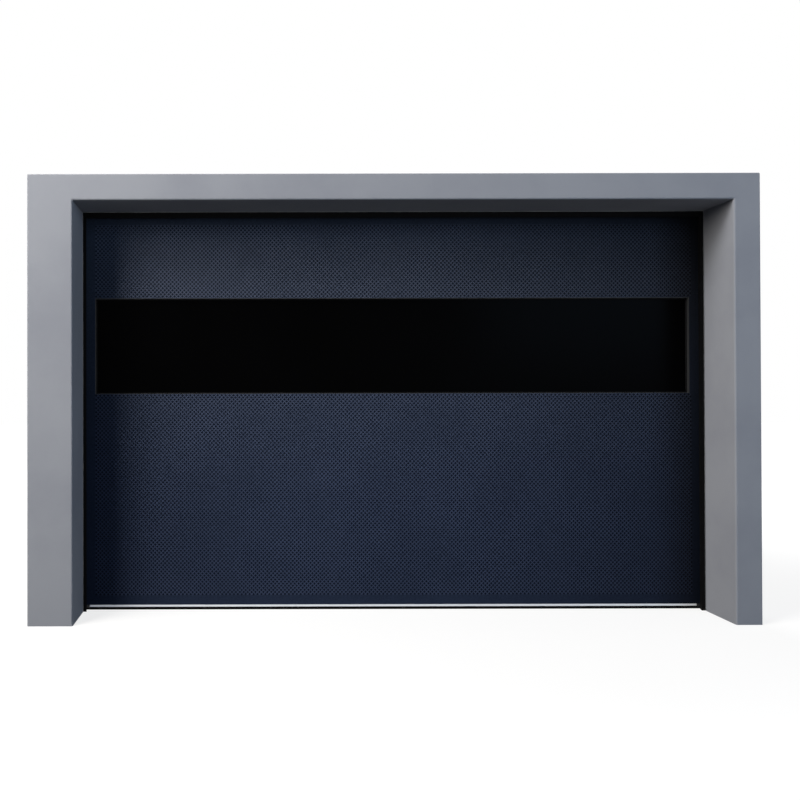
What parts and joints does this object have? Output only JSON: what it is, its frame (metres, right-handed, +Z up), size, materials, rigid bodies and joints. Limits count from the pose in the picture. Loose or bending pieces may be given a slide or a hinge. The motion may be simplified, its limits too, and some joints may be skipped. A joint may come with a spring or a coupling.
{
  "type": "sectional garage door",
  "caption": "Closed sectional garage door in a plain grey surround: dark diamond-embossed leaf with a full-width black window band, tracks, springs and rollers behind",
  "frame": {"origin": "floor level, in the middle of the overall width and depth", "axes": "+X to the right seen from outside, +Y into the garage, +Z up"},
  "size_m": [3.88, 3, 2.529],
  "materials": {
    "surround": "smooth matte grey render",
    "frame_steel": "galvanised, primed light grey",
    "leaf_skin": "dark blue-grey satin paint, diamond embossed",
    "window_frame": "dark blue-grey satin paint, smooth",
    "glazing": "black tinted pane",
    "seal_rubber": "black rubber",
    "foot_profile": "bright satin aluminium",
    "galvanised": "bright galvanised sheet",
    "roller_plastic": "white nylon",
    "spring_steel": "dark spring steel",
    "cable_steel": "galvanised wire rope",
    "handle_plastic": "black plastic"
  },
  "bodies": {
    "root": {"left_pier": "surround", "right_pier": "surround", "lintel": "surround", "left_upright": "frame_steel", "right_upright": "frame_steel", "head_frame": "frame_steel", "side_seals": "seal_rubber", "foot_end_blocks": "handle_plastic", "head_seal": "seal_rubber", "bottom_section": "leaf_skin", "lower_section": "leaf_skin", "top_section": "leaf_skin", "window_bottom_rail": "window_frame", "window_top_rail": "window_frame", "window_left_stile": "window_frame", "window_right_stile": "window_frame", "window_pane": "glazing", "glazing_bead": "window_frame", "bottom_profile": "foot_profile", "bottom_seal": "seal_rubber", "end_caps": "galvanised", "section_hinges": "galvanised", "roller_carriers": "galvanised", "bottom_brackets": "galvanised", "top_arms": "galvanised", "rollers": "roller_plastic", "left_vertical_track": "galvanised", "right_vertical_track": "galvanised", "left_track_bend": "galvanised", "right_track_bend": "galvanised", "left_lower_track": "galvanised", "right_lower_track": "galvanised", "left_upper_track": "galvanised", "right_upper_track": "galvanised", "track_brackets": "galvanised", "corner_plates": "galvanised", "ceiling_hangers": "galvanised", "rear_bar": "galvanised", "springs": "spring_steel", "anchor_plates": "galvanised", "pulley_yokes": "galvanised", "cables": "cable_steel", "pulleys": "roller_plastic", "pulley_brackets": "galvanised", "inside_handle": "handle_plastic"}
  },
  "joints": []
}
